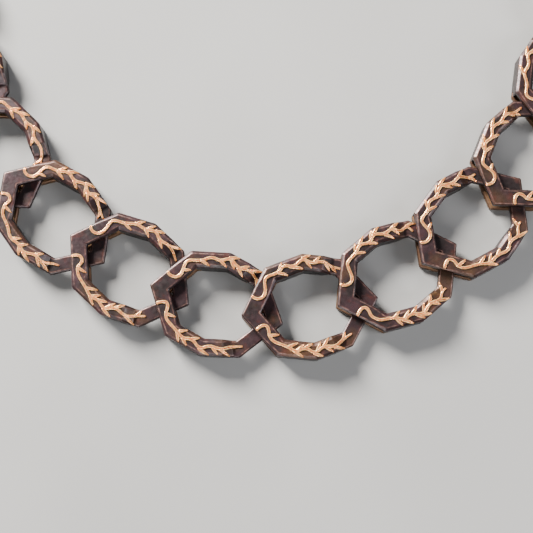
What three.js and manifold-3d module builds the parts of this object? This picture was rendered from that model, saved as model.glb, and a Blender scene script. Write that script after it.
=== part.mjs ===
// A chain necklace of broad, flat metal links laid out in an open horseshoe.
//
// Each link is an eight-sided ring with a sharp corner at both ends.  At its fork end the ring is
// slotted into a front plate and a separate rear plate, joined at the corner by a rivet.  At its
// tongue end the ring steps down to a thin V that passes through the slot of the next link and is
// held there by that link's rivet, so neighbours turn about the rivet like a clevis joint.
// A flat trigger clasp hangs on the free fork and would hook over the free tongue.
//
// Units are millimetres and degrees.  The necklace lies on z = 0 with its front faces up.

import * as THREE from "three";
import { mergeVertices } from "three/addons/utils/BufferGeometryUtils.js";
import Module from "manifold-3d";

const wasm = await Module();
wasm.setup();

// ---------------------------------------------------------------- driving dimensions

// Link outline.  x runs along the link from the fork corner to the tongue corner.
const linkLength = 31.9;
const linkHalfWidth = 12.35;
const kneeAlong = 6.9; // fork corner to the first bend of the ring
const kneeHalfWidth = 10.3;
const tongueReach = 7.3; // last bend of the ring to the tongue corner
const shoulderHalfWidth = 10.3;
const armWidth = 3.85;
const tongueWidth = 3.6;
const edgeChamfer = 0.25;

// Layers, from the underside up.
const rearPlateThickness = 1.6;
const tongueThickness = 1.5;
const slotPlay = 0.4; // above and below the tongue
const frontPlateThickness = 1.7;

// Fork.
const slotLength = 11.8; // along each arm of the fork from its corner
const plateLap = 1.8; // rear plate let into the ring past the end of the slot
const solderSeam = 0.1;
const rivetInset = 2.5; // fork corner to rivet centre
const rivetPlay = 3.1; // rivet centre to the inner corner of the tongue it holds
const rivetRadius = 0.8;
const rivetHeadRadius = 1.3;
const rivetHeadDepth = 0.5;
const rivetRim = 0.1; // straight edge of the head under its cone
const rivetSocketDepth = 0.8; // blind hole in the front plate
const rivetClearance = 0.1;

// Tongue.
const slopeLead = 3.6; // the shoulder's slope starts this far before the last bend
const slopeRun = 2.6;

// Lay of the chain: the turn from each link to the next, from the clasp end round to the free
// tongue, and which link the layout starts from.
const linkTurns = [
  12, 12, 10, 9, 16, 11.5, 14, 24, 20, 13, 13.5, 14, 9, 9, 11, 13, 13,
];
const middleLink = 8; // index of the lowest link, counted from 0
const middleHeading = 7.8;
const claspTurn = 12;

// Clasp.  u runs along the clasp away from the rivet of the first link.
const claspThickness = 3.4;
const claspEyeRadius = 2.3;
const claspTangWidth = 2.6;
const claspHeel = { u: 7.8, radius: 3.7 };
const claspNose = { u: 16.0, radius: 5.6 };
const claspWall = 1.9; // round the nose
const claspHeelWall = 1.3;
const boreStart = 4.0; // heel centre to the centre of the bore's narrow end
const hookOverhang = 0.9; // hook tip past the nose centre
const claspMouthLength = 7.0;
const claspMouthFloor = 1.2;
const triggerThickness = 1.4;
const triggerClearance = 0.25;
const triggerPivot = { u: 8.0, v: 1.2 };
const triggerBossRadius = 1.3;
const noseRelief = 0.6; // the trigger's nose leans back to swing clear of the hook
const triggerPinRadius = 0.45;
const pinClearance = 0.08;
const springThickness = 0.25;

// ---------------------------------------------------------------- derived sizes

const shoulderAlong = linkLength - tongueReach;
const crownAlong = (kneeAlong + shoulderAlong) / 2;
const slotHeight = tongueThickness + 2 * slotPlay;
const frontPlateUnderside = rearPlateThickness + slotHeight;
const linkThickness = frontPlateUnderside + frontPlateThickness;
const tongueBottom = rearPlateThickness + slotPlay;
const tongueTop = tongueBottom + tongueThickness;
const slotMiddle = (tongueBottom + tongueTop) / 2;
const tongueHalfAngle = Math.atan2(shoulderHalfWidth, tongueReach);
const tongueInnerCorner = linkLength - tongueWidth / Math.sin(tongueHalfAngle);
const nextRivetAlong = tongueInnerCorner - rivetPlay;
const forkAngle = Math.atan2(kneeHalfWidth, kneeAlong);
const rivetTop = frontPlateUnderside + rivetSocketDepth;
const through = 1; // how far a cutting solid runs past the face it cuts

// ---------------------------------------------------------------- solids

function solidFrom(geometry) {
  const bare = geometry.clone();
  bare.deleteAttribute("normal");
  bare.deleteAttribute("uv");
  const merged = mergeVertices(bare, 1e-4);
  return new wasm.Manifold(
    new wasm.Mesh({
      numProp: 3,
      vertProperties: merged.attributes.position.array,
      triVerts: new Uint32Array(merged.index.array),
    }),
  );
}

function geometryFrom(solid) {
  const mesh = solid.getMesh();
  const geometry = new THREE.BufferGeometry();
  geometry.setAttribute("position", new THREE.BufferAttribute(mesh.vertProperties, 3));
  geometry.setIndex(new THREE.BufferAttribute(mesh.triVerts, 1));
  geometry.computeVertexNormals();
  return geometry;
}

const vectors = (points) => points.map(([x, y]) => new THREE.Vector2(x, y));

// A flat shape standing from bottom to top, with its upper and lower edges chamfered.
function prism(shape, bottom, top, chamfer = 0) {
  const geometry = new THREE.ExtrudeGeometry(shape, {
    depth: top - bottom - 2 * chamfer,
    bevelEnabled: chamfer > 0,
    bevelThickness: chamfer,
    bevelSize: chamfer,
    bevelOffset: -chamfer,
    bevelSegments: 1,
    curveSegments: 11,
  });
  geometry.translate(0, 0, bottom + chamfer);
  return solidFrom(geometry);
}

const polygonPrism = (points, bottom, top, chamfer = 0) =>
  prism(new THREE.Shape(vectors(points)), bottom, top, chamfer);

// A side profile of [x, z] points carried across the whole width of a link.
function crossPrism(profile) {
  const span = 2 * linkHalfWidth + 2 * through;
  const shape = new THREE.Shape(vectors(profile));
  const geometry = new THREE.ExtrudeGeometry(shape, { depth: span, bevelEnabled: false });
  geometry.rotateX(Math.PI / 2);
  geometry.translate(0, span / 2, 0);
  return solidFrom(geometry);
}

// A round solid about z from [radius, z] points that start and end on the axis, lowest first.
const turned = (profile, segments = 10) =>
  solidFrom(new THREE.LatheGeometry(vectors(profile), segments).rotateX(Math.PI / 2));

const rod = (radius, bottom, top, segments) =>
  turned([[0, bottom], [radius, bottom], [radius, top], [0, top]], segments);

function namedMesh(name, solid, material) {
  const mesh = new THREE.Mesh(geometryFrom(solid), material);
  mesh.name = name;
  return mesh;
}

// ---------------------------------------------------------------- materials

const finish = (color, roughness, metalness) =>
  new THREE.MeshStandardMaterial({ color, roughness, metalness });
const patinatedBronze = () => finish(0x43302f, 0.5, 0.8);
const bareBronze = () => finish(0x75583a, 0.5, 0.85);
const copperRivet = () => finish(0x9a5c40, 0.45, 0.9);
const springSteel = () => finish(0x8c8c90, 0.35, 1.0);

// ---------------------------------------------------------------- link

// The ring's outer corners, anticlockwise from the fork corner.
const outerCorners = [
  [0, 0],
  [kneeAlong, -kneeHalfWidth],
  [crownAlong, -linkHalfWidth],
  [shoulderAlong, -shoulderHalfWidth],
  [linkLength, 0],
  [shoulderAlong, shoulderHalfWidth],
  [crownAlong, linkHalfWidth],
  [kneeAlong, kneeHalfWidth],
];
const sideWidths = [
  armWidth, armWidth, armWidth, tongueWidth, tongueWidth, armWidth, armWidth, armWidth,
];

// Moves each side of a closed outline inwards by its own width and finds the new corners.
function insetCorners(corners, widths) {
  const count = corners.length;
  const sides = corners.map(([x, y], i) => {
    const [nextX, nextY] = corners[(i + 1) % count];
    const length = Math.hypot(nextX - x, nextY - y);
    const along = [(nextX - x) / length, (nextY - y) / length];
    const start = [x - along[1] * widths[i], y + along[0] * widths[i]];
    return { start, along };
  });
  return sides.map((side, i) => {
    const before = sides[(i + count - 1) % count];
    const cross = before.along[0] * side.along[1] - before.along[1] * side.along[0];
    const gap = [side.start[0] - before.start[0], side.start[1] - before.start[1]];
    const travel = (gap[0] * side.along[1] - gap[1] * side.along[0]) / cross;
    return [
      before.start[0] + before.along[0] * travel,
      before.start[1] + before.along[1] * travel,
    ];
  });
}

function ringShape() {
  const shape = new THREE.Shape(vectors(outerCorners));
  shape.holes.push(new THREE.Path(vectors(insetCorners(outerCorners, sideWidths))));
  return shape;
}

// The part of the plane that holds both fork arms up to a distance along them from the corner.
function forkRegion(distance) {
  const across = [-Math.sin(forkAngle), Math.cos(forkAngle)];
  const edge = [distance * Math.cos(forkAngle), distance * Math.sin(forkAngle)];
  const outside = armWidth;
  const inside = -1.75 * armWidth;
  const outer = [edge[0] + outside * across[0], edge[1] + outside * across[1]];
  const inner = [edge[0] + inside * across[0], edge[1] + inside * across[1]];
  return [
    [-armWidth, 0],
    [outer[0], -outer[1]],
    [inner[0], -inner[1]],
    inner,
    outer,
  ];
}

// Cutters that thin the tongue end from above and from below, with sloping shoulders.
function tongueCutters() {
  const start = shoulderAlong - slopeLead;
  const end = start + slopeRun;
  const past = linkLength + through;
  const above = linkThickness + through;
  const upper = [
    [start, above],
    [start, linkThickness],
    [end, tongueTop],
    [past, tongueTop],
    [past, above],
  ];
  const lower = [
    [start, -through],
    [past, -through],
    [past, tongueBottom],
    [end, tongueBottom],
    [start, 0],
  ];
  return [crossPrism(upper), crossPrism(lower)];
}

function ringSolid() {
  const slot = polygonPrism(forkRegion(slotLength), -through, frontPlateUnderside);
  const lapTop = rearPlateThickness + solderSeam;
  const lap = polygonPrism(forkRegion(slotLength + plateLap + solderSeam), -through, lapTop);
  const socketTop = rivetTop + rivetClearance;
  const socket = rod(rivetRadius + rivetClearance, frontPlateUnderside - through, socketTop);
  const [upper, lower] = tongueCutters();
  return prism(ringShape(), 0, linkThickness, edgeChamfer)
    .subtract(slot)
    .subtract(lap)
    .subtract(socket.translate([rivetInset, 0, 0]))
    .subtract(upper)
    .subtract(lower);
}

// A countersunk pin with its flat head at the bottom.
function countersunkPin(headRadius, shankRadius, bottom, rim) {
  const profile = [
    [0, bottom],
    [headRadius, bottom],
    [headRadius, rim],
    [shankRadius, rim + rivetHeadDepth],
    [shankRadius, rivetTop],
    [0, rivetTop],
  ];
  return turned(profile).translate([rivetInset, 0, 0]);
}

const rivetSolid = () =>
  countersunkPin(rivetHeadRadius, rivetRadius, solderSeam, solderSeam + rivetRim);

const rivetHole = () =>
  countersunkPin(
    rivetHeadRadius + rivetClearance,
    rivetRadius + rivetClearance,
    -through,
    solderSeam + rivetRim,
  );

function rearPlateSolid() {
  const region = polygonPrism(forkRegion(slotLength + plateLap), -through, linkThickness);
  return prism(ringShape(), 0, rearPlateThickness, edgeChamfer)
    .intersect(region)
    .subtract(rivetHole());
}

const ring = ringSolid();
const rearPlate = rearPlateSolid();
const rivet = rivetSolid();

function makeLink(number) {
  const label = "link_" + String(number).padStart(2, "0");
  const link = new THREE.Group();
  link.add(
    namedMesh(label + "_ring", ring, patinatedBronze()),
    namedMesh(label + "_rear_plate", rearPlate, bareBronze()),
    namedMesh(label + "_rivet", rivet, copperRivet()),
  );
  return link;
}

// ---------------------------------------------------------------- clasp

// The outline around two circles on the clasp's axis, the smaller heel first.
function pearShape(heel, nose) {
  const distance = nose.u - heel.u;
  const lean = Math.acos((heel.radius - nose.radius) / distance);
  const shape = new THREE.Shape();
  shape.absarc(heel.u, 0, heel.radius, lean, 2 * Math.PI - lean, false);
  shape.absarc(nose.u, 0, nose.radius, -lean, lean, false);
  shape.closePath();
  return shape;
}

const claspBottom = slotMiddle - claspThickness / 2;
const claspTop = slotMiddle + claspThickness / 2;
const mouthEnd = claspNose.u + hookOverhang;
const mouthStart = mouthEnd - claspMouthLength;
const springBow = 2 * springThickness;
const pocketFloor = triggerPivot.v - triggerBossRadius - springBow - 2 * springThickness;

function claspBodySolid() {
  const tongue = [slotMiddle - tongueThickness / 2, slotMiddle + tongueThickness / 2];
  const eye = rod(claspEyeRadius, ...tongue, 20);
  const halfTang = claspTangWidth / 2;
  const heelEnd = claspHeel.u;
  const tang = polygonPrism(
    [[0, -halfTang], [heelEnd, -halfTang], [heelEnd, halfTang], [0, halfTang]],
    ...tongue,
  );
  const inner = pearShape(
    { u: claspHeel.u + boreStart, radius: claspHeel.radius - claspHeelWall },
    { u: claspNose.u, radius: claspNose.radius - claspWall },
  );
  const bore = prism(inner, claspBottom - through, claspTop + through);
  const reach = claspNose.radius + through;
  const mouth = polygonPrism(
    [
      [mouthStart, claspMouthFloor],
      [mouthEnd, claspMouthFloor],
      [mouthEnd, reach],
      [mouthStart, reach],
    ],
    claspBottom - through,
    claspTop + through,
  );
  const pocketHalf = triggerThickness / 2 + triggerClearance;
  const pocketSide = triggerBossRadius + triggerClearance;
  const pocketStart = triggerPivot.u - pocketSide;
  const pocketEnd = triggerPivot.u + 2 * pocketSide;
  const pocket = polygonPrism(
    [[pocketStart, pocketFloor], [pocketEnd, pocketFloor], [pocketEnd, reach], [pocketStart, reach]],
    slotMiddle - pocketHalf,
    slotMiddle + pocketHalf,
  );
  const eyeHole = rod(rivetRadius + 3 * rivetClearance, -through, linkThickness);
  const pinHole = rod(triggerPinRadius + pinClearance, -through, linkThickness);
  return prism(pearShape(claspHeel, claspNose), claspBottom, claspTop, edgeChamfer)
    .add(eye)
    .add(tang)
    .subtract(bore)
    .subtract(mouth)
    .subtract(pocket)
    .subtract(eyeHole)
    .subtract(pinHole.translate([triggerPivot.u, triggerPivot.v, 0]));
}

// The trigger bridges the mouth and carries a thumb tab on its outer side.
function triggerSolid() {
  const { u, v } = triggerPivot;
  const noseEnd = mouthEnd - triggerClearance;
  const outline = [
    [u + 1.5, v - 0.3],
    [u + 3.9, v + 1.3],
    [noseEnd, v + 2.3],
    [noseEnd - noseRelief, v + 4.0],
    [u + 5.6, v + 3.7],
    [u + 5.2, v + 5.2],
    [u + 4.0, v + 5.5],
    [u + 3.3, v + 3.3],
    [u - 0.4, v + triggerBossRadius - 0.1],
    [u, v - triggerBossRadius + 0.2],
  ];
  const bottom = slotMiddle - triggerThickness / 2;
  const top = slotMiddle + triggerThickness / 2;
  const boss = rod(triggerBossRadius, bottom, top, 16).translate([u, v, 0]);
  const hole = rod(triggerPinRadius + pinClearance, -through, linkThickness);
  return polygonPrism(outline, bottom, top).add(boss).subtract(hole.translate([u, v, 0]));
}

const triggerPinSolid = () =>
  rod(triggerPinRadius, claspBottom, claspTop).translate([triggerPivot.u, triggerPivot.v, 0]);

// A flat leaf spring on the floor of the pocket, bowed up to touch the trigger's boss.
function triggerSpringSolid() {
  const half = triggerBossRadius;
  const { u } = triggerPivot;
  const floor = pocketFloor + solderSeam;
  const outline = [
    [u - half, floor],
    [u - half / 2, floor + springBow],
    [u + half / 2, floor + springBow],
    [u + half, floor],
    [u + half, floor + springThickness],
    [u + half / 2, floor + springBow + springThickness],
    [u - half / 2, floor + springBow + springThickness],
    [u - half, floor + springThickness],
  ];
  const halfTall = triggerThickness / 2;
  return polygonPrism(outline, slotMiddle - halfTall, slotMiddle + halfTall);
}

function makeClasp() {
  const clasp = new THREE.Group();
  clasp.add(
    namedMesh("clasp_body", claspBodySolid(), patinatedBronze()),
    namedMesh("clasp_trigger", triggerSolid(), patinatedBronze()),
    namedMesh("clasp_pin", triggerPinSolid(), copperRivet()),
    namedMesh("clasp_spring", triggerSpringSolid(), springSteel()),
  );
  return clasp;
}

// ---------------------------------------------------------------- assembly

const radians = THREE.MathUtils.degToRad;

// Where each link lies: the fork corner and the heading, worked outwards from the middle link.
function linkPlaces() {
  const places = [];
  const heading = (degrees) =>
    new THREE.Vector2(Math.cos(radians(degrees)), Math.sin(radians(degrees)));
  places[middleLink] = { corner: new THREE.Vector2(0, 0), degrees: middleHeading };
  for (let i = middleLink + 1; i <= linkTurns.length; i++) {
    const before = places[i - 1];
    const degrees = before.degrees + linkTurns[i - 1];
    const pivot = before.corner.clone().addScaledVector(heading(before.degrees), nextRivetAlong);
    places[i] = { corner: pivot.addScaledVector(heading(degrees), -rivetInset), degrees };
  }
  for (let i = middleLink - 1; i >= 0; i--) {
    const after = places[i + 1];
    const degrees = after.degrees - linkTurns[i];
    const pivot = after.corner.clone().addScaledVector(heading(after.degrees), rivetInset);
    places[i] = { corner: pivot.addScaledVector(heading(degrees), -nextRivetAlong), degrees };
  }
  return places;
}

const necklace = new THREE.Group();
const places = linkPlaces();
places.forEach(({ corner, degrees }, i) => {
  const link = makeLink(i + 1);
  link.position.set(corner.x, corner.y, 0);
  link.rotation.z = radians(degrees);
  necklace.add(link);
});

// The clasp points away from the first link, on its rivet.
const clasp = makeClasp();
const first = places[0];
clasp.position.set(
  first.corner.x + rivetInset * Math.cos(radians(first.degrees)),
  first.corner.y + rivetInset * Math.sin(radians(first.degrees)),
  0,
);
clasp.rotation.z = radians(first.degrees - claspTurn + 180);
necklace.add(clasp);

// The origin is under the middle of the whole necklace, on the surface it lies on.
const extent = new THREE.Box3().setFromObject(necklace, true);
const centre = extent.getCenter(new THREE.Vector3());
const part = new THREE.Group();
necklace.position.set(-centre.x, -centre.y, -extent.min.z);
part.add(necklace);

export default part;
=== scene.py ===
import math
import random

import bmesh
import bpy
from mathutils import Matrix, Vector, noise


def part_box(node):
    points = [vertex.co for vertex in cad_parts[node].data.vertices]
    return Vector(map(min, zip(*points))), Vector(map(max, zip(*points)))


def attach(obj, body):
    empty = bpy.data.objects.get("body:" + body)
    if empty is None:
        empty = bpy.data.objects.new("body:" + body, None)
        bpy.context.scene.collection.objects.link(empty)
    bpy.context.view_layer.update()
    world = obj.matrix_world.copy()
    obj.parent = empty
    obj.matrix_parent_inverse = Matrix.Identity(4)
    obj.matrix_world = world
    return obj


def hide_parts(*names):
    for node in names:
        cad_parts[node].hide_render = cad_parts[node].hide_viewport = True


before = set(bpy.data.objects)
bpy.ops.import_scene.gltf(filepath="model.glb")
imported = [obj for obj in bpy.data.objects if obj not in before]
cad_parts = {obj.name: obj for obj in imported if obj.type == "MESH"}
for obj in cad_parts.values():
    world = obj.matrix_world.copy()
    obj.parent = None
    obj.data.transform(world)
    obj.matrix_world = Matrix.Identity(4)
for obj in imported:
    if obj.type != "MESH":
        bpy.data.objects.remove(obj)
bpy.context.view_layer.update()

# ------------------------------------------------------------------ sizes, in millimetres
# A link's own x axis runs from its fork corner to its tongue corner.  Unless a comment says
# otherwise, these repeat the CAD's.
MM = 0.001
LINK_LENGTH = 31.9
LINK_HALF_WIDTH = 12.35
KNEE_ALONG = 6.9
SHOULDER_ALONG = 24.6
BEND_HALF_WIDTH = 10.3  # both at the knee and at the shoulder
CROWN_ALONG = (KNEE_ALONG + SHOULDER_ALONG) / 2
ARM_WIDTH = 3.85
TONGUE_WIDTH = 3.6
RIVET_INSET = 2.5
RIVET_RADIUS = 0.8
RIVET_HEAD_RADIUS = 1.3
RIVET_HEAD_TAPER = 0.5

REAR_TOP = 1.6
TONGUE_BOTTOM = 2.0
TONGUE_TOP = 3.5
FORK_UNDERSIDE = 3.9
CAD_TOP = 5.6
FRONT = 5.42  # the plain face lies a little low, so that the raised vines end near the CAD's top
SEAM = 0.1
REST_GAP = 0.02  # the uneven filed underside stays this far above the floor

# Distances along the outer edge from the fork corner.  The slot ends a little later and the slope
# lies a little earlier than the CAD's, as room for the hand-made wobble when links turn.
SLOT_END = 12.05
LAP_END = 13.6
SLOPE_START = 26.6
SLOPE_END = 29.15

# Finish of the edges.
EDGE_ROUND = 0.11
FORK_CHAMFER = (0.34, 0.24)  # across, down
OUTER_CHAMFER = (0.62, 0.42)
INNER_CHAMFER = (0.78, 0.58)
HAND_WOBBLE = 0.13  # how far a hand-made link's bends stray
FILE_WOBBLE = 0.035  # unevenness of the filed faces
WOBBLE_SIZE = 2.2  # width of its waves

# Vines.
VINE_WIDTH = 0.80
VINE_HEIGHT = 0.33
TWIG_WIDTH = 0.72
VINE_END = 32.6  # distance from the fork at which a vine runs out, on the tongue
SWEEP_STEP = 0.16
ROOT_DEPTH = 0.35  # how far a vine's body reaches into the link
# The hooks that the vines start with: distance from the fork, share of the way across the arm.
UPPER_HOOK = [
    (5.2, 0.05), (4.7, 0.2), (4.5, 0.45), (5.1, 0.68),
    (6.5, 0.76), (8.0, 0.64), (9.4, 0.42), (10.8, 0.34),
]
LOWER_HOOK = [
    (4.9, 0.06), (4.5, 0.22), (4.3, 0.56), (5.0, 0.72),
    (6.3, 0.66), (7.6, 0.42), (9.1, 0.38), (10.6, 0.5),
]

# Clasp: u runs from its eye along its axis, v to the side of its mouth.
CLASP_THICKNESS = 3.4
EYE_RADIUS = 2.3
EYE_HOLE_RADIUS = 1.1
TANG_WIDTH = 2.6
HEEL_ALONG = 7.8
HEEL_RADIUS = 3.7
HEEL_WALL = 1.3
NOSE_ALONG = 16.0
NOSE_RADIUS = 5.6
NOSE_WALL = 1.9
BORE_START = 4.0
MOUTH_START = 9.9
MOUTH_END = 16.9
MOUTH_FLOOR = 1.2
TRIGGER_PIVOT = Vector((8.0, 1.2))
TRIGGER_THICKNESS = 1.4
TRIGGER_CLEARANCE = 0.25
BOSS_RADIUS = 1.3
NOSE_RELIEF = 0.6
PIN_RADIUS = 0.45
PIN_CLEARANCE = 0.08
POCKET_FLOOR = -1.1
SPRING_THICKNESS = 0.25
SPRING_BOW = 0.5
BODY_EDGE = 0.2  # rounding of each clasp piece's edges
TRIGGER_EDGE = 0.17
SPRING_EDGE = 0.04


# ------------------------------------------------------------------ outline of a link
def link_corners(rng):
    """The eight outer corners, anticlockwise from the fork, with the bends a little astray."""
    regular = [
        (0, 0),
        (KNEE_ALONG, -BEND_HALF_WIDTH),
        (CROWN_ALONG, -LINK_HALF_WIDTH),
        (SHOULDER_ALONG, -BEND_HALF_WIDTH),
        (LINK_LENGTH, 0),
        (SHOULDER_ALONG, BEND_HALF_WIDTH),
        (CROWN_ALONG, LINK_HALF_WIDTH),
        (KNEE_ALONG, BEND_HALF_WIDTH),
    ]
    corners = []
    for x, y in regular:
        stray = Vector((0, 0))
        if y:
            stray = Vector((rng.uniform(-1, 1), rng.uniform(-1, 0) * math.copysign(1, y)))
        corners.append(Vector((x, y)) + stray * HAND_WOBBLE)
    return corners


def inset(corners, widths):
    """Each side moved inwards by its own width: the inner corners."""
    count = len(corners)
    sides = []
    for i in range(count):
        along = (corners[(i + 1) % count] - corners[i]).normalized()
        inward = Vector((-along.y, along.x))
        sides.append((corners[i] + inward * widths[i], along))
    found = []
    for i in range(count):
        (p, a), (q, b) = sides[i - 1], sides[i]
        cross = a.x * b.y - a.y * b.x
        travel = ((q - p).x * b.y - (q - p).y * b.x) / cross
        found.append(p + a * travel)
    return found


SIDE_WIDTHS = [ARM_WIDTH] * 3 + [TONGUE_WIDTH] * 2 + [ARM_WIDTH] * 3


class Outline:
    """A link's outer and inner edge, and what lies between them."""

    def __init__(self, seed):
        rng = random.Random(seed)
        self.outer = link_corners(rng)
        self.inner = inset(self.outer, SIDE_WIDTHS)

    def side_length(self, side):
        return (self.outer[(side + 1) % 8] - self.outer[side]).length

    def at(self, side, share):
        """Outer and inner point at a share of the way along a side."""
        nxt = (side + 1) % 8
        return (
            self.outer[side].lerp(self.outer[nxt], share),
            self.inner[side].lerp(self.inner[nxt], share),
        )

    def from_fork(self, side, share):
        """Distance from the fork corner along the outer edge, the shorter way round."""
        if side < 4:
            return sum(self.side_length(i) for i in range(side)) + share * self.side_length(side)
        after = sum(self.side_length(i) for i in range(side + 1, 8))
        return after + (1 - share) * self.side_length(side)

    def place(self, upper, s, across):
        """The point at distance s from the fork on the upper or lower half, across 0 outside to 1."""
        order = [7, 6, 5, 4] if upper else [0, 1, 2, 3]
        for side in order:
            length = self.side_length(side)
            if s <= length or side == order[-1]:
                share = s / length
                out, inn = self.at(side, 1 - share if upper else share)
                return out.lerp(inn, across)
            s -= length


def mix(a, b, t):
    t = min(1, max(0, t))
    return a + (b - a) * t


def smooth(t):
    t = min(1, max(0, t))
    return t * t * (3 - 2 * t)


# ------------------------------------------------------------------ cross-section of a ring
def ring_levels(s):
    """Underside and top of the ring at distance s from the fork."""
    if s < SLOT_END:
        return FORK_UNDERSIDE, FRONT
    if s < LAP_END:
        return REAR_TOP + SEAM, FRONT
    slope = (s - SLOPE_START) / (SLOPE_END - SLOPE_START)
    return mix(0, TONGUE_BOTTOM, slope), mix(FRONT, TONGUE_TOP, slope)


def chamfers(s):
    """Outer and inner chamfer of the front edge: narrow on the plain fork, broad on the arms."""
    on = smooth((s - 7.0) / 5.0)
    off = 1 - smooth((s - SLOPE_START + 1.0) / 3.0)
    blend = on * off
    plain = Vector(FORK_CHAMFER)
    outer = plain.lerp(Vector(OUTER_CHAMFER), blend)
    inner = plain.lerp(Vector(INNER_CHAMFER), blend)
    return outer, inner


def front_height(s, a, width):
    """Height of the front surface at a across from the outer edge."""
    top = ring_levels(s)[1]
    (out_a, out_z), (in_a, in_z) = chamfers(s)
    if a < out_a:
        return top - out_z * (1 - a / out_a)
    if a > width - in_a:
        return top - in_z * (1 - (width - a) / in_a)
    return top


def rounded(profile, radius, steps=2):
    """Each corner of a closed profile becomes a short arc.  The third value marks the kind."""
    count = len(profile)
    result = []
    for i, (x, z, kind) in enumerate(profile):
        here = Vector((x, z))
        before = Vector(profile[i - 1][:2]) - here
        after = Vector(profile[(i + 1) % count][:2]) - here
        start = here + before.normalized() * min(radius, before.length * 0.45)
        end = here + after.normalized() * min(radius, after.length * 0.45)
        for k in range(steps + 1):
            t = k / steps
            point = start * (1 - t) ** 2 + here * 2 * t * (1 - t) + end * t**2
            result.append((point.x, point.y, kind))
    return result


def ring_section(s, width):
    """Closed profile (across, z, wear) of the ring, from the outer wall over the front."""
    low, top = ring_levels(s)
    (out_a, out_z), (in_a, in_z) = chamfers(s)
    under = 0.22
    # The third values mark wear; the highest, on the top chamfer edges, also place the painted highlight.
    corners = [
        (0, low + under, 0.3),
        (0, top - out_z, 0.8),
        (out_a / 2, top - out_z / 2, 0.2),
        (out_a, top, 1.0),
        (width - in_a, top, 1.0),
        (width - in_a / 2, top - in_z / 2, 0.2),
        (width, top - in_z, 0.7),
        (width, low + under, 0.3),
        (width - under, low, 0.3),
        (under, low, 0.3),
    ]
    return with_flat(rounded(corners, EDGE_ROUND), 12, top)


def with_flat(profile, before, z):
    """Adds points across the flat that starts before that point, so that it can be uneven."""
    start, end = profile[before - 1][0], profile[before][0]
    middle = [(mix(start, end, share), z, 0.0) for share in (0.12, 0.31, 0.5, 0.69, 0.88)]
    return profile[:before] + middle + profile[before:]


def plate_section(s, width):
    """Closed profile of the rear plate."""
    edge = 0.25
    corners = [
        (0, edge, 0.3),
        (0, REAR_TOP - edge, 0.9),
        (edge, REAR_TOP, 0.9),
        (width - edge, REAR_TOP, 0.9),
        (width, REAR_TOP - edge, 0.9),
        (width, edge, 0.3),
        (width - edge, 0, 0.5),
        (edge, 0, 0.5),
    ]
    return with_flat(rounded(corners, EDGE_ROUND), 9, REAR_TOP)


# ------------------------------------------------------------------ stations round the outline
CORNER_CUT = 0.34  # how far from a bend its rounding starts
STATION_STEP = 0.75
STEP_RUN = 0.05  # half the length over which the slot's end wall rises


def side_shares(outline, side, marks):
    """Where along a side the sections stand: even steps, plus a pair either side of each mark."""
    length = outline.side_length(side)
    low, high = CORNER_CUT / length, 1 - CORNER_CUT / length
    steps = max(2, round((length - 2 * CORNER_CUT) / STATION_STEP))
    shares = [mix(low, high, k / steps) for k in range(steps + 1)]
    for mark in marks:
        share = share_of(outline, side, mark)
        if share is None:
            continue
        shares = [t for t in shares if abs(t - share) * length > 4 * STEP_RUN or t in (low, high)]
        shares += [share - STEP_RUN / length, share + STEP_RUN / length]
    return sorted(shares)


def share_of(outline, side, s):
    """The share along a side at which distance s from the fork falls, if it does."""
    start, end = outline.from_fork(side, 0), outline.from_fork(side, 1)
    if not min(start, end) < s < max(start, end):
        return None
    return (s - start) / (end - start)


def corner_stations(outline, corner, steps=4):
    """Sections round a bend, on a short arc that cuts its point off."""
    before = (corner + 7) % 8
    enter = outline.at(before, 1 - CORNER_CUT / outline.side_length(before))
    leave = outline.at(corner, CORNER_CUT / outline.side_length(corner))
    tip = (outline.outer[corner], outline.inner[corner])
    s = outline.from_fork(corner, 0)
    width = min(SIDE_WIDTHS[before], SIDE_WIDTHS[corner])
    found = []
    for k in range(1, steps):
        t = k / steps
        pair = [a * (1 - t) ** 2 + b * 2 * t * (1 - t) + c * t**2 for a, b, c in zip(enter, tip, leave)]
        found.append((pair[0], pair[1], s, width))
    return found


def stations(outline, sides, marks, closed):
    """Every section's outer point, inner point, distance from the fork and arm width, in order."""
    found = []
    for i, side in enumerate(sides):
        if closed or i > 0:
            found += corner_stations(outline, side)
        for share in side_shares(outline, side, marks):
            out, inn = outline.at(side, share)
            found.append((out, inn, outline.from_fork(side, share), SIDE_WIDTHS[side]))
    return found


# ------------------------------------------------------------------ meshes
def loft(bm, rings, closed):
    """Joins rings of vertices into a skin, and caps the ends of an open one."""
    count = len(rings)
    spans = count if closed else count - 1
    for i in range(spans):
        a, b = rings[i], rings[(i + 1) % count]
        for k in range(len(a)):
            j = (k + 1) % len(a)
            bm.faces.new((a[k], b[k], b[j], a[j]))
    if not closed:
        bm.faces.new(rings[0])
        bm.faces.new(list(reversed(rings[-1])))


def section_rings(bm, places, section, wear, zone):
    """The vertices of every section, with their wear and their distance from the fork."""
    rings = []
    for out, inn, s, width in places:
        ring = []
        for across, z, kind in section(s, width):
            flat = out.lerp(inn, across / width)
            vert = bm.verts.new((flat.x, flat.y, z))
            vert[wear] = kind
            vert[zone] = s
            ring.append(vert)
        rings.append(ring)
    return rings


def roughen(bm, seed, amount, size):
    """Makes filed faces slightly uneven."""
    bm.normal_update()
    shift = Vector((seed * 7.3, seed * 3.1, seed * 1.7))
    for vert in bm.verts:
        vert.co += vert.normal * amount * noise.noise(vert.co / size + shift)


def new_mesh():
    bm = bmesh.new()
    wear = bm.verts.layers.float.new("wear")
    zone = bm.verts.layers.float.new("zone")
    return bm, wear, zone


def placed(point, spot):
    """A point in a piece's own millimetres, in the row frame in metres."""
    c, s = math.cos(spot["heading"]), math.sin(spot["heading"])
    x = spot["origin"].x + (point.x * c - point.y * s) * MM
    y = spot["origin"].y + (point.x * s + point.y * c) * MM
    return Vector((x, y, point.z * MM))


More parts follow.
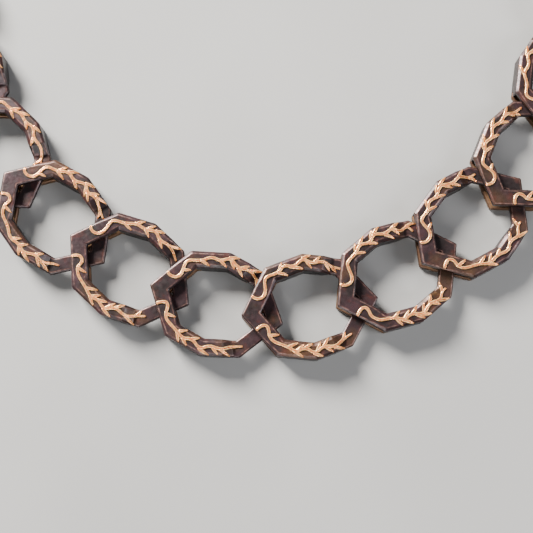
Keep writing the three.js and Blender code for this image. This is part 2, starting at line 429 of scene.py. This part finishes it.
def finish_mesh(bm, name, spot, material, angle=32):
    """Places a mesh in the frame as an object with smooth shading and true edges."""
    bmesh.ops.recalc_face_normals(bm, faces=bm.faces)
    for vert in bm.verts:
        vert.co = placed(vert.co, spot)
        vert.co.z = max(vert.co.z, REST_GAP * MM)
    mesh = bpy.data.meshes.new(name)
    bm.to_mesh(mesh)
    bm.free()
    obj = bpy.data.objects.new(name, mesh)
    bpy.context.collection.objects.link(obj)
    mesh.materials.append(material)
    mesh.shade_smooth()
    mesh.set_sharp_from_angle(angle=math.radians(angle))
    weighted = obj.modifiers.new("face weighted normals", "WEIGHTED_NORMAL")
    weighted.keep_sharp = True
    return obj


def make_ring(link, outline, material):
    bm, wear, zone = new_mesh()
    places = stations(outline, range(8), (SLOT_END, LAP_END, SLOPE_START, SLOPE_END), True)
    loft(bm, section_rings(bm, places, ring_section, wear, zone), True)
    roughen(bm, link["number"], FILE_WOBBLE, WOBBLE_SIZE)
    return finish_mesh(bm, link["name"] + "_ring_shape", link, material)


def make_rear_plate(link, outline, material):
    bm, wear, zone = new_mesh()
    places = stations(outline, (6, 7, 0, 1), (), False)
    places = [p for p in places if p[2] < LAP_END - SEAM]
    loft(bm, section_rings(bm, places, plate_section, wear, zone), False)
    roughen(bm, link["number"] + 40, FILE_WOBBLE, WOBBLE_SIZE)
    return finish_mesh(bm, link["name"] + "_rear_plate_shape", link, material)


def lathe(bm, profile, centre, segments=32):
    """A round solid from (radius, z) points, lowest first, closed at both ends."""
    rings = []
    for radius, z in profile:
        ring = []
        for k in range(segments):
            a = 2 * math.pi * k / segments
            ring.append(bm.verts.new((centre.x + radius * math.cos(a), centre.y + radius * math.sin(a), z)))
        rings.append(ring)
    loft(bm, rings, False)


def make_rivet(link, material):
    bm, _, _ = new_mesh()
    head = RIVET_HEAD_RADIUS
    profile = [
        (head - 0.25, SEAM - 0.05),
        (head - 0.08, SEAM - 0.02),
        (head, SEAM + 0.08),
        (RIVET_RADIUS, SEAM + 0.1 + RIVET_HEAD_TAPER),
        (RIVET_RADIUS, FORK_UNDERSIDE + 0.3),
    ]
    lathe(bm, profile, Vector((RIVET_INSET, 0)))
    return finish_mesh(bm, link["name"] + "_rivet_shape", link, material)


# ------------------------------------------------------------------ vines
def soften(points, rounds=2):
    """Corner cutting: turns a short list of points into a smooth path with the same ends."""
    for _ in range(rounds):
        cut = [points[0]]
        for a, b in zip(points, points[1:]):
            cut += [a.lerp(b, 0.25), a.lerp(b, 0.75)]
        points = cut + [points[-1]]
    return points


def resample(points, step):
    """Even steps along a path."""
    found = [points[0]]
    left = step
    for a, b in zip(points, points[1:]):
        length = (b - a).length
        done = 0.0
        while length - done > left:
            done += left
            found.append(a.lerp(b, done / length))
            left = step
        left -= length - done
    if (found[-1] - points[-1]).length > step * 0.3:
        found.append(points[-1])
    return found


SECTION_POINTS = 9


def vine_section(width, height):
    """A raised line with round shoulders and a faint groove: (across, z, share of half width)."""
    found = []
    for k in range(SECTION_POINTS):
        t = -1 + 2 * k / (SECTION_POINTS - 1)
        z = height * (1 - abs(t) ** 3.0) ** 0.7 - 0.30 * height * math.exp(-((t / 0.34) ** 2))
        found.append((t * width / 2, z, abs(t)))
    return found


def stem_width(share):
    """A stem keeps its width and only narrows over its last part."""
    return VINE_WIDTH * (1 - 0.35 * smooth((share - 0.85) / 0.15))


def twig_width(share):
    """A twig swells a little and then runs out to a narrow tip, like a blade of grass."""
    swell = 0.85 + 0.25 * math.sin(math.pi * share)
    return TWIG_WIDTH * swell * (1 - 0.45 * smooth((share - 0.55) / 0.45))


def sweep_line(bm, rim, outline, upper, line, width_at):
    """Lays a raised line along points (s, across share) on the front of a link."""
    flat = [outline.place(upper, s, f) for s, f in line]
    path = resample(soften(flat), SWEEP_STEP)
    total = len(path)
    if total < 4:
        return
    lengths = [0.0]
    for a, b in zip(path, path[1:]):
        lengths.append(lengths[-1] + (b - a).length)
    rings = []
    for i, point in enumerate(path):
        tangent = (path[min(i + 1, total - 1)] - path[max(i - 1, 0)]).normalized()
        normal = Vector((-tangent.y, tangent.x))
        width = width_at(lengths[i] / lengths[-1])
        width *= 1 + 0.16 * noise.noise(Vector((point.x * 0.9, point.y * 0.9, 3.0)))
        reach = min(lengths[i], lengths[-1] - lengths[i]) + 0.03
        cap = min(1.0, reach / (width / 2))
        round_end = math.sqrt(max(0.05, 1 - (1 - cap) ** 2))
        ring = []
        base = surface_under(outline, upper, point)
        height = VINE_HEIGHT * (0.35 + 0.65 * round_end) * (0.75 + 0.25 * width / VINE_WIDTH)
        for a, z, t in vine_section(width * round_end, height):
            spot = point + normal * a
            vert = bm.verts.new((spot.x, spot.y, base + z))
            vert[rim] = t
            ring.append(vert)
        # The root points and the section's outer edge carry rim 1, where the vine's colour turns to a
        # painted shade outline.
        for side in (0.5, -0.5):
            spot = point + normal * (width * round_end * side)
            vert = bm.verts.new((spot.x, spot.y, base - ROOT_DEPTH))
            vert[rim] = 1.0
            ring.append(vert)
        rings.append(ring)
    loft(bm, rings, False)


def surface_under(outline, upper, point):
    """Height of the link's front under a point given in the link's plane."""
    best = None
    for side in ([7, 6, 5, 4] if upper else [0, 1, 2, 3]):
        nxt = (side + 1) % 8
        along = outline.outer[nxt] - outline.outer[side]
        length = along.length
        along = along / length
        rel = point - outline.outer[side]
        t = rel.dot(along)
        a = rel.dot(Vector((-along.y, along.x)))
        miss = max(0, -t, t - length) + max(0, -a, a - SIDE_WIDTHS[side])
        if best is None or miss < best[0]:
            s = outline.from_fork(side, min(1, max(0, t / length)))
            best = (miss, s, a, SIDE_WIDTHS[side])
    _, s, a, width = best
    return front_height(s, min(width, max(0, a)), width)


def hook_plan(rng, upper):
    """The start of a vine: a hook near the fork, then up the arm to about its first bend."""
    shift = rng.uniform(-0.25, 0.35)
    points = UPPER_HOOK if upper else LOWER_HOOK
    return [(s + shift, f + rng.uniform(-0.03, 0.03)) for s, f in points]


def twig_points(root, reach, far):
    """A twig leaves its root nearly along the arm and bends away to its tip."""
    s, f = root
    return [(s - 0.45, mix(f, far, -0.06)), (s, f), (s + reach * 0.42, mix(f, far, 0.42)), (s + reach, far)]


def vine_plan(rng, upper):
    """The main line's points and its twigs, as (s, across share) lists."""
    main = hook_plan(rng, upper)
    twigs = []
    if rng.random() < 0.75:
        twigs.append(twig_points(main[5], 2.1, 0.93))
    s, side = main[-1][0] + 0.6, 1
    end = VINE_END - rng.uniform(0.0, 0.9)
    while True:
        s += rng.uniform(2.1, 3.1)
        if s > end - 1.2:
            break
        here = (s, 0.47 + side * rng.uniform(0.09, 0.20))
        main.append(here)
        reach = rng.uniform(1.8, 2.5)
        if rng.random() < 0.85:
            far = here[1] + side * rng.uniform(0.24, 0.38)
            twigs.append(twig_points(here, reach, min(0.97, max(0.03, far))))
        if rng.random() < 0.45 and s < SLOPE_START:
            start = (s + rng.uniform(0.1, 0.6), here[1] - side * 0.06)
            far = here[1] - side * rng.uniform(0.45, 0.6)
            twigs.append(twig_points(start, reach * 0.85, min(0.93, max(0.06, far))))
        side = -side
    main.append((end, 0.5 + side * 0.06))
    return main, twigs


def make_vine(link, outline, upper, material):
    bm = bmesh.new()
    rim = bm.verts.layers.float.new("rim")
    rng = random.Random(1000 * link["number"] + (7 if upper else 3))
    main, twigs = vine_plan(rng, upper)
    sweep_line(bm, rim, outline, upper, main, stem_width)
    for twig in twigs:
        sweep_line(bm, rim, outline, upper, twig, twig_width)
    name = link["name"] + ("_vine_upper" if upper else "_vine_lower")
    return finish_mesh(bm, name, link, material, 60)


# ------------------------------------------------------------------ clasp
def arc(centre, radius, start, end, steps):
    """Points along part of a circle."""
    angles = [mix(start, end, k / steps) for k in range(steps + 1)]
    return [Vector((centre.x + radius * math.cos(a), centre.y + radius * math.sin(a))) for a in angles]


def pear(heel, heel_radius, nose, nose_radius):
    """The outline round two circles on the clasp's axis."""
    lean = math.acos((heel_radius - nose_radius) / (nose - heel))
    back = arc(Vector((heel, 0)), heel_radius, lean, 2 * math.pi - lean, 28)
    front = arc(Vector((nose, 0)), nose_radius, -lean, lean, 40)
    return back + front


def rectangle(u0, v0, u1, v1):
    return [Vector((u0, v0)), Vector((u1, v0)), Vector((u1, v1)), Vector((u0, v1))]


def upright(outline, low, high):
    """An outline raised into a solid object, still in the piece's own millimetres."""
    bm = bmesh.new()
    base = [bm.verts.new((p.x, p.y, low)) for p in outline]
    top = [bm.verts.new((p.x, p.y, high)) for p in outline]
    loft(bm, [base, top], False)
    bmesh.ops.recalc_face_normals(bm, faces=bm.faces)
    mesh = bpy.data.meshes.new("block")
    bm.to_mesh(mesh)
    bm.free()
    obj = bpy.data.objects.new("block", mesh)
    bpy.context.collection.objects.link(obj)
    return obj


def post(centre, radius, low, high):
    return upright(arc(centre, radius, 0, 2 * math.pi * 31 / 32, 31), low, high)


def shaped(base, steps, edge):
    """Carries out boolean steps on a solid, then rounds its edges; the tools are used up."""
    for operation, tool in steps:
        modifier = base.modifiers.new("cut or join", "BOOLEAN")
        modifier.operation = operation
        modifier.solver = "EXACT"
        modifier.object = tool
    bevel = base.modifiers.new("round edges", "BEVEL")
    bevel.width = edge
    bevel.segments = 3
    bevel.limit_method = "ANGLE"
    bevel.angle_limit = math.radians(40)
    bpy.context.view_layer.update()
    evaluated = base.evaluated_get(bpy.context.evaluated_depsgraph_get())
    bm = bmesh.new()
    bm.from_mesh(evaluated.to_mesh())
    for obj in [base] + [tool for _, tool in steps]:
        bpy.data.objects.remove(obj, do_unlink=True)
    return bm


def make_clasp_body(spot, material):
    middle = (TONGUE_BOTTOM + TONGUE_TOP) / 2
    low, high = middle - CLASP_THICKNESS / 2, middle + CLASP_THICKNESS / 2
    beyond = NOSE_RADIUS + 1
    half_pocket = TRIGGER_THICKNESS / 2 + TRIGGER_CLEARANCE
    pocket_side = BOSS_RADIUS + TRIGGER_CLEARANCE
    pocket_start = TRIGGER_PIVOT.x - pocket_side
    pocket = rectangle(pocket_start, POCKET_FLOOR, TRIGGER_PIVOT.x + 2 * pocket_side, beyond)
    mouth = rectangle(MOUTH_START, MOUTH_FLOOR, MOUTH_END, beyond)
    bore = pear(HEEL_ALONG + BORE_START, HEEL_RADIUS - HEEL_WALL, NOSE_ALONG, NOSE_RADIUS - NOSE_WALL)
    eye = Vector((0, 0))
    half_tang = TANG_WIDTH / 2
    lean = math.asin(half_tang / EYE_RADIUS)
    tang = arc(eye, EYE_RADIUS, lean, 2 * math.pi - lean, 30)
    tang += [Vector((HEEL_ALONG, -half_tang)), Vector((HEEL_ALONG, half_tang))]
    steps = [
        ("UNION", upright(tang, TONGUE_BOTTOM, TONGUE_TOP)),
        ("DIFFERENCE", upright(bore, low - 1, high + 1)),
        ("DIFFERENCE", upright(mouth, low - 1, high + 1)),
        ("DIFFERENCE", upright(pocket, middle - half_pocket, middle + half_pocket)),
        ("DIFFERENCE", post(eye, EYE_HOLE_RADIUS, -1, CAD_TOP)),
        ("DIFFERENCE", post(TRIGGER_PIVOT, PIN_RADIUS + PIN_CLEARANCE, -1, CAD_TOP)),
    ]
    outline = pear(HEEL_ALONG, HEEL_RADIUS, NOSE_ALONG, NOSE_RADIUS)
    bm = shaped(upright(outline, low, high), steps, BODY_EDGE)
    return finish_mesh(bm, "clasp_body_shape", spot, material)


def make_trigger(spot, material):
    """The trigger bridges the mouth and carries a thumb tab on its outer side."""
    nose = MOUTH_END - TRIGGER_CLEARANCE - TRIGGER_PIVOT.x
    outline = [
        (1.5, -0.3),
        (3.9, 1.3),
        (nose, 2.3),
        (nose - NOSE_RELIEF, 4.0),
        (5.6, 3.7),
        (5.2, 5.2),
        (4.0, 5.5),
        (3.3, 3.3),
        (-0.4, BOSS_RADIUS - 0.1),
        (0, 0.2 - BOSS_RADIUS),
    ]
    middle = (TONGUE_BOTTOM + TONGUE_TOP) / 2
    low, high = middle - TRIGGER_THICKNESS / 2, middle + TRIGGER_THICKNESS / 2
    points = [TRIGGER_PIVOT + Vector(p) for p in outline]
    steps = [
        ("UNION", post(TRIGGER_PIVOT, BOSS_RADIUS, low, high)),
        ("DIFFERENCE", post(TRIGGER_PIVOT, PIN_RADIUS + PIN_CLEARANCE, low - 1, high + 1)),
    ]
    bm = shaped(upright(points, low, high), steps, TRIGGER_EDGE)
    return finish_mesh(bm, "clasp_trigger_shape", spot, material)


def make_clasp_pin(spot, material):
    bm, _, _ = new_mesh()
    middle = (TONGUE_BOTTOM + TONGUE_TOP) / 2
    half = CLASP_THICKNESS / 2
    dome = 0.08
    profile = [
        (PIN_RADIUS * 0.6, middle - half),
        (PIN_RADIUS, middle - half + dome),
        (PIN_RADIUS, middle + half - dome),
        (PIN_RADIUS * 0.6, middle + half),
    ]
    lathe(bm, profile, TRIGGER_PIVOT)
    return finish_mesh(bm, "clasp_pin_shape", spot, material)


def make_spring(spot, material):
    """A leaf spring on the pocket's floor, bowed up to just short of the trigger's boss."""
    floor = POCKET_FLOOR + SEAM
    under = []
    for share in (k / 12 for k in range(13)):
        u = TRIGGER_PIVOT.x + BOSS_RADIUS * (2 * share - 1)
        under.append(Vector((u, floor + SPRING_BOW * math.sin(math.pi * share))))
    over = [p + Vector((0, SPRING_THICKNESS)) for p in reversed(under)]
    middle = (TONGUE_BOTTOM + TONGUE_TOP) / 2
    half = TRIGGER_THICKNESS / 2
    bm = shaped(upright(under + over, middle - half, middle + half), [], SPRING_EDGE)
    return finish_mesh(bm, "clasp_spring_shape", spot, material)


# ------------------------------------------------------------------ materials
class Nodes:
    """A short way to write a material's node tree."""

    def __init__(self, name):
        self.material = bpy.data.materials.new(name)
        self.material.use_nodes = True
        self.tree = self.material.node_tree
        self.tree.nodes.clear()
        self.output = self.add("ShaderNodeOutputMaterial")
        self.shader = self.add("ShaderNodeBsdfPrincipled")
        self.link(self.shader.outputs[0], self.output.inputs["Surface"])
        self.coords = self.add("ShaderNodeTexCoord").outputs["Object"]

    def add(self, kind, **values):
        node = self.tree.nodes.new(kind)
        for key, value in values.items():
            setattr(node, key, value)
        return node

    def link(self, a, b):
        self.tree.links.new(a, b)

    def noise(self, size_mm, detail=3.0, roughness=0.55, stretch=None):
        """Cloudy values with features of about that size."""
        source = self.coords
        if stretch:
            mapping = self.add("ShaderNodeMapping")
            mapping.inputs["Scale"].default_value = stretch
            self.link(self.coords, mapping.inputs["Vector"])
            source = mapping.outputs[0]
        node = self.add("ShaderNodeTexNoise")
        node.inputs["Scale"].default_value = 1 / (size_mm * MM)
        node.inputs["Detail"].default_value = detail
        node.inputs["Roughness"].default_value = roughness
        self.link(source, node.inputs["Vector"])
        return node.outputs[0]

    def attribute(self, name):
        node = self.add("ShaderNodeAttribute")
        node.attribute_name = name
        return node.outputs["Fac"]

    def steepness(self):
        """0 on faces that look up or down, 1 on upright walls."""
        normal = self.add("ShaderNodeNewGeometry").outputs["Normal"]
        split = self.add("ShaderNodeSeparateXYZ")
        self.link(normal, split.inputs[0])
        upright = self.math("ABSOLUTE", split.outputs["Z"])
        return self.ramp(upright, [(0.25, 1.0), (0.60, 0.0)])

    def ramp(self, value, stops):
        """Maps a value through (position, colour or number) stops."""
        node = self.add("ShaderNodeValToRGB")
        elements = node.color_ramp.elements
        while len(elements) < len(stops):
            elements.new(0.5)
        for element, (position, colour) in zip(elements, stops):
            element.position = position
            if isinstance(colour, (int, float)):
                colour = (colour,) * 3
            element.color = (*colour, 1)
        self.link(value, node.inputs[0])
        return node.outputs[0]

    def math(self, operation, a, b=0.5, clamp=False):
        node = self.add("ShaderNodeMath", operation=operation, use_clamp=clamp)
        for socket, value in zip(node.inputs, (a, b)):
            if isinstance(value, (int, float)):
                socket.default_value = value
            else:
                self.link(value, socket)
        return node.outputs[0]

    def blend(self, factor, a, b, mode="MIX"):
        node = self.add("ShaderNodeMix", data_type="RGBA", blend_type=mode)
        for socket, value in ((node.inputs[0], factor), (node.inputs[6], a), (node.inputs[7], b)):
            if isinstance(value, tuple):
                socket.default_value = (*value, 1)
            elif isinstance(value, (int, float)):
                socket.default_value = value
            else:
                self.link(value, socket)
        return node.outputs[2]

    def bump(self, heights):
        """Chains (height, strength, distance in mm) into one normal."""
        normal = None
        for height, strength, distance in heights:
            node = self.add("ShaderNodeBump")
            node.inputs["Strength"].default_value = strength
            node.inputs["Distance"].default_value = distance * MM
            self.link(height, node.inputs["Height"])
            if normal is not None:
                self.link(normal, node.inputs["Normal"])
            normal = node.outputs[0]
        self.link(normal, self.shader.inputs["Normal"])

    def set(self, **values):
        for key, value in values.items():
            socket = self.shader.inputs[key.replace("_", " ")]
            if isinstance(value, tuple):
                socket.default_value = (*value, 1)
            elif isinstance(value, (int, float)):
                socket.default_value = value
            else:
                self.link(value, socket)


AUBERGINE = (0.042, 0.021, 0.025)
CHARCOAL = (0.019, 0.0135, 0.014)
RED_BROWN = (0.095, 0.024, 0.017)
# Pale rubbed metal for the top chamfer edges, which is also a painted highlight there.
PALE_WEAR_AND_HIGHLIGHT = (0.60, 0.42, 0.36)
BROWN_GOLD = (0.085, 0.043, 0.020)
# Painted shade for the upright walls.
PAINTED_WALL_SHADE = (0.008, 0.005, 0.005)


def patina_material():
    n = Nodes("patinated_bronze")
    clouds = n.noise(5.0, 4.0, 0.6)
    base = n.blend(n.ramp(clouds, [(0.42, 0.0), (0.66, 1.0)]), CHARCOAL, AUBERGINE)
    warm = n.ramp(n.noise(9.0, 2.0), [(0.50, 0.0), (0.70, 0.8)])
    base = n.blend(warm, base, BROWN_GOLD)
    red = n.ramp(n.noise(2.2, 3.0), [(0.54, 0.0), (0.76, 0.5)])
    base = n.blend(red, base, RED_BROWN)
    wear = n.attribute("wear")
    patchy = n.ramp(n.noise(1.4, 4.0, 0.7), [(0.44, 0.1), (0.64, 1.0)])
    worn = n.math("MULTIPLY", n.ramp(wear, [(0.35, 0.0), (0.85, 1.0)]), patchy)
    rubbed_and_highlight = n.math("MULTIPLY", n.ramp(wear, [(0.70, 0.0), (1.0, 1.0)]), patchy)
    base = n.blend(n.math("MULTIPLY", worn, 0.6), base, RED_BROWN)
    # Top chamfer edges turn pale in patches: partly rubbed wear, partly a painted highlight.
    base = n.blend(n.math("MULTIPLY", rubbed_and_highlight, 0.20), base, PALE_WEAR_AND_HIGHLIGHT)
    # Painted shade: upright walls are darkened nearly to black, whichever way they face.
    base = n.blend(n.math("MULTIPLY", n.steepness(), 0.8), base, PAINTED_WALL_SHADE)
    grain = n.noise(0.16, 3.0, 0.7)
    base = n.blend(0.7, base, n.ramp(grain, [(0.3, 0.25), (0.7, 1.9)]), "MULTIPLY")
    rough = n.ramp(n.noise(0.9, 4.0, 0.65), [(0.3, 0.27), (0.7, 0.48)])
    n.set(Base_Color=base, Metallic=0.4, Roughness=rough, Specular_IOR_Level=0.5)
    hammer = n.noise(1.6, 2.0, 0.5)
    n.bump([(hammer, 0.4, 0.10), (grain, 0.5, 0.02)])
    return n.material


def bare_material():
    n = Nodes("bare_bronze")
    clouds = n.noise(3.0, 3.0)
    base = n.blend(n.ramp(clouds, [(0.35, 0.0), (0.65, 1.0)]), (0.10, 0.055, 0.030), (0.26, 0.155, 0.075))
    strokes = n.noise(0.5, 3.0, 0.7, (0.25, 2.4, 1.0))
    base = n.blend(0.6, base, n.ramp(strokes, [(0.35, 0.45), (0.65, 1.4)]), "MULTIPLY")
    wear = n.attribute("wear")
    base = n.blend(n.ramp(wear, [(0.25, 0.0), (0.9, 0.55)]), base, (0.08, 0.036, 0.028))
    n.set(Base_Color=base, Metallic=0.7, Roughness=n.ramp(clouds, [(0.3, 0.36), (0.7, 0.52)]))
    n.bump([(strokes, 0.4, 0.03), (n.noise(0.15, 2.0), 0.3, 0.015)])
    return n.material


def copper_material():
    n = Nodes("copper")
    rim = n.attribute("rim")
    patch = n.noise(0.8, 4.0, 0.65)
    orange = n.blend(n.ramp(patch, [(0.35, 0.0), (0.65, 1.0)]), (0.78, 0.17, 0.045), (1.0, 0.36, 0.11))
    # Painted highlight: each vine's flanks are made pale cream, and the orange is kept in its middle.
    flank_highlight = n.ramp(rim, [(0.28, 0.0), (0.55, 1.0)])
    pale = n.math("MULTIPLY", flank_highlight, n.ramp(patch, [(0.3, 0.4), (0.6, 1.0)]))
    base = n.blend(pale, orange, (1.0, 0.66, 0.29))
    dark = n.ramp(n.noise(0.40, 3.0, 0.7), [(0.60, 0.0), (0.72, 0.75)])
    base = n.blend(dark, base, (0.28, 0.10, 0.06))
    # Painted shade: the foot of each vine, where it meets the link, is darkened to a near-black outline.
    base = n.blend(n.ramp(rim, [(0.80, 0.0), (0.98, 0.9)]), base, (0.07, 0.025, 0.018))
    n.set(Base_Color=base, Metallic=0.6, Roughness=n.ramp(patch, [(0.3, 0.17), (0.7, 0.36)]))
    n.bump([(n.noise(0.45, 2.0, 0.5), 0.6, 0.05)])
    return n.material


def steel_material():
    n = Nodes("spring_steel")
    streaks = n.noise(0.3, 3.0, 0.6, (1.0, 4.0, 1.0))
    base = n.ramp(streaks, [(0.3, (0.34, 0.34, 0.36)), (0.7, (0.56, 0.56, 0.58))])
    n.set(Base_Color=base, Metallic=1.0, Roughness=n.ramp(streaks, [(0.3, 0.26), (0.7, 0.4)]))
    n.bump([(streaks, 0.2, 0.01)])
    return n.material


def floor_material():
    n = Nodes("pale_floor")
    tone = n.ramp(n.noise(60.0, 2.0), [(0.3, (0.30, 0.30, 0.296)), (0.7, (0.33, 0.33, 0.326))])
    n.set(Base_Color=tone, Roughness=0.9)
    return n.material


# ------------------------------------------------------------------ assembly
def centre_of(node):
    low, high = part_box(node)
    return (Vector(low) + Vector(high)) / 2


def find_links():
    """Where each link lies: its rivet, and the heading to the far corner of its tongue."""
    links = []
    number = 1
    while f"link_{number:02d}_ring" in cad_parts:
        name = f"link_{number:02d}"
        rivet = centre_of(name + "_rivet")
        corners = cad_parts[name + "_ring"].data.vertices
        far = max((v.co for v in corners), key=lambda co: (co.xy - rivet.xy).length)
        heading = math.atan2(far.y - rivet.y, far.x - rivet.x)
        along = Vector((math.cos(heading), math.sin(heading), 0))
        origin = rivet - along * RIVET_INSET * MM
        links.append({"name": name, "number": number, "origin": origin, "heading": heading})
        number += 1
    return links


def add_piece(obj, body, slot, replaced=None):
    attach(obj, body)
    if replaced:
        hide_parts(replaced)


def build_links(links, looks):
    for link in links:
        outline = Outline(link["number"])
        name = link["name"]
        add_piece(make_ring(link, outline, looks["patina"]), name, "patinated_bronze", name + "_ring")
        add_piece(make_rear_plate(link, outline, looks["bare"]), name, "bare_bronze", name + "_rear_plate")
        add_piece(make_rivet(link, looks["copper"]), name, "copper", name + "_rivet")
        for upper in (True, False):
            add_piece(make_vine(link, outline, upper, looks["copper"]), name, "copper")


def find_clasp():
    """The clasp's eye is on the first link's rivet; its pin tells which way it points."""
    eye = centre_of("link_01_rivet")
    pin = centre_of("clasp_pin")
    heading = math.atan2(pin.y - eye.y, pin.x - eye.x) - math.atan2(TRIGGER_PIVOT.y, TRIGGER_PIVOT.x)
    return {"origin": eye, "heading": heading}


def build_clasp(looks):
    spot = find_clasp()
    pieces = (
        (make_clasp_body(spot, looks["patina"]), "clasp", "patinated_bronze", "clasp_body"),
        (make_trigger(spot, looks["patina"]), "trigger", "patinated_bronze", "clasp_trigger"),
        (make_clasp_pin(spot, looks["copper"]), "clasp", "copper", "clasp_pin"),
        (make_spring(spot, looks["steel"]), "clasp", "spring_steel", "clasp_spring"),
    )
    for piece in pieces:
        add_piece(*piece)


def make_floor(material):
    bpy.ops.mesh.primitive_plane_add(size=6)
    floor = bpy.context.object
    floor.name = "floor"
    floor.data.materials.append(material)


def area_light(name, place, target, size, power, colour=(1, 1, 1)):
    data = bpy.data.lights.new(name, "AREA")
    data.shape = "DISK"
    data.size = size
    data.energy = power
    data.color = colour
    light = bpy.data.objects.new(name, data)
    light.location = place
    light.rotation_euler = (Vector(target) - Vector(place)).to_track_quat("-Z", "Y").to_euler()
    bpy.context.collection.objects.link(light)


def make_lights():
    area_light("key", (-0.50, 0.50, 0.42), (0, -0.03, 0), 0.34, 50.0, (1.0, 0.96, 0.91))
    area_light("fill", (0.52, -0.18, 0.34), (0, -0.03, 0), 0.30, 3.0, (0.97, 0.97, 1.0))
    area_light("front", (-0.15, -0.60, 0.36), (0, -0.03, 0), 0.30, 2.5)
    world = bpy.data.worlds.new("studio")
    world.use_nodes = True
    world.node_tree.nodes["Background"].inputs[0].default_value = (0.9, 0.92, 1.0, 1)
    world.node_tree.nodes["Background"].inputs[1].default_value = 0.08
    bpy.context.scene.world = world


VIEW_WIDTH = 0.12226  # what the picture spans at the front of the links
VIEW_DISTANCE = 0.22
VIEW_TILT = math.radians(10)  # from straight down, towards the viewer
MIDDLE_LINK = 9
VIEW_OFFSET = Vector((5.82, 11.22)) * MM  # middle link's fork corner to the centre of the picture


def make_camera(links):
    middle = links[MIDDLE_LINK - 1]
    corner = middle["origin"]
    target = Vector((corner.x + VIEW_OFFSET.x, corner.y + VIEW_OFFSET.y, CAD_TOP * MM))
    data = bpy.data.cameras.new("camera")
    data.sensor_width = 36
    data.lens = 36 * VIEW_DISTANCE / VIEW_WIDTH
    data.clip_start = 0.005
    camera = bpy.data.objects.new("camera", data)
    toward = Vector((0, -math.sin(VIEW_TILT), math.cos(VIEW_TILT)))
    camera.location = target + toward * VIEW_DISTANCE
    camera.rotation_euler = (VIEW_TILT, 0, 0)
    bpy.context.collection.objects.link(camera)
    bpy.context.scene.camera = camera


links = find_links()
make_camera(links)
make_lights()
looks = {
    "patina": patina_material(),
    "bare": bare_material(),
    "copper": copper_material(),
    "steel": steel_material(),
}
make_floor(floor_material())
build_links(links, looks)
build_clasp(looks)
